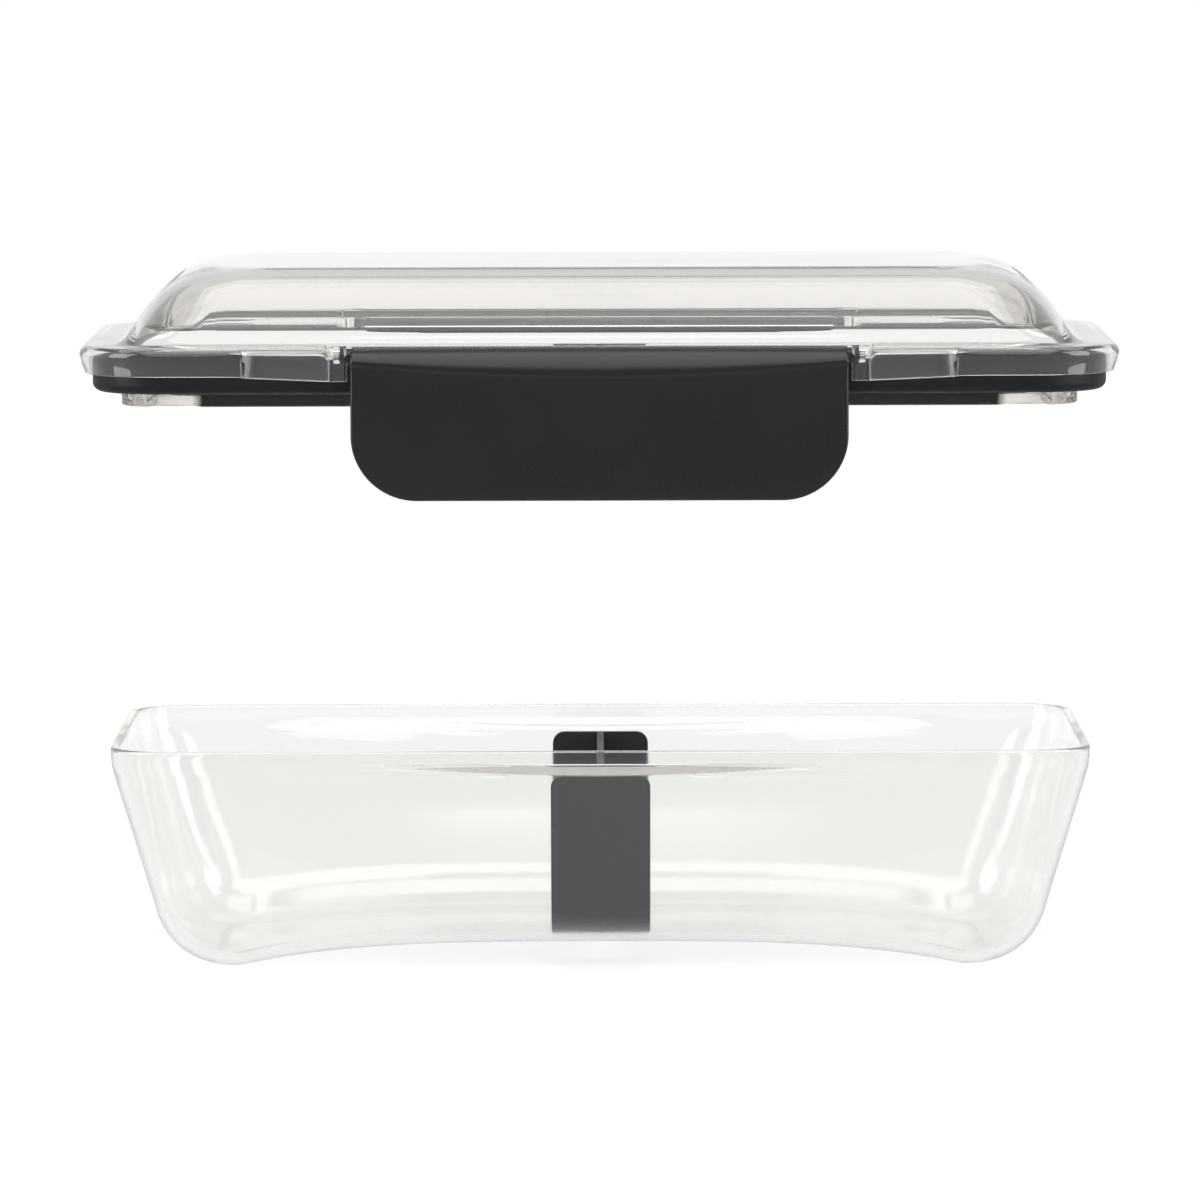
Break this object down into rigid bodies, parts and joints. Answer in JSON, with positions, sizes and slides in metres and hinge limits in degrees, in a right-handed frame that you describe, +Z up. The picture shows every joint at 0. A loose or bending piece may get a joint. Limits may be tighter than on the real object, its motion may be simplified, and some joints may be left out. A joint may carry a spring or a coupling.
{
  "type": "lunch box",
  "caption": "Shallow rectangular lunch box with an arched base, a divider, and a clear domed lid with a seal ring and wide snap latches on its long sides.",
  "frame": {"origin": "middle of the footprint, on the surface that the feet rest on", "axes": "+X along the width, -Y towards the front, +Z up"},
  "size_m": [0.2154, 0.1068, 0.147],
  "materials": {
    "clear_body": "clear, slightly hazy, smooth",
    "clear_lid": "clear, polished",
    "divider_plastic": "satin, fine moulded grain",
    "seal_rubber": "matt silicone",
    "latch_plastic": "satin, fine moulded grain"
  },
  "bodies": {
    "container": {"container": "clear_body"},
    "divider": {"divider": "divider_plastic"},
    "lid": {"lid": "clear_lid", "gasket": "seal_rubber"},
    "front_latch": {"front_latch": "latch_plastic"},
    "rear_latch": {"rear_latch": "latch_plastic"}
  },
  "joints": [
    {"name": "divider_lift", "type": "slide", "parent": "container", "child": "divider", "axis": [0, 0, 1], "range_m": [0, 0.05]},
    {"name": "lid_lift", "type": "slide", "parent": "divider", "child": "lid", "axis": [0, 0, 1], "range_m": [-0.074, 0.026]},
    {"name": "front_latch_hinge", "type": "hinge", "parent": "lid", "child": "front_latch", "pos_m": [0, -0.05, 0.13], "axis": [-1, 0, 0], "range_deg": [0, 110]},
    {"name": "rear_latch_hinge", "type": "hinge", "parent": "lid", "child": "rear_latch", "pos_m": [0, 0.05, 0.13], "axis": [1, 0, 0], "range_deg": [0, 110]}
  ]
}
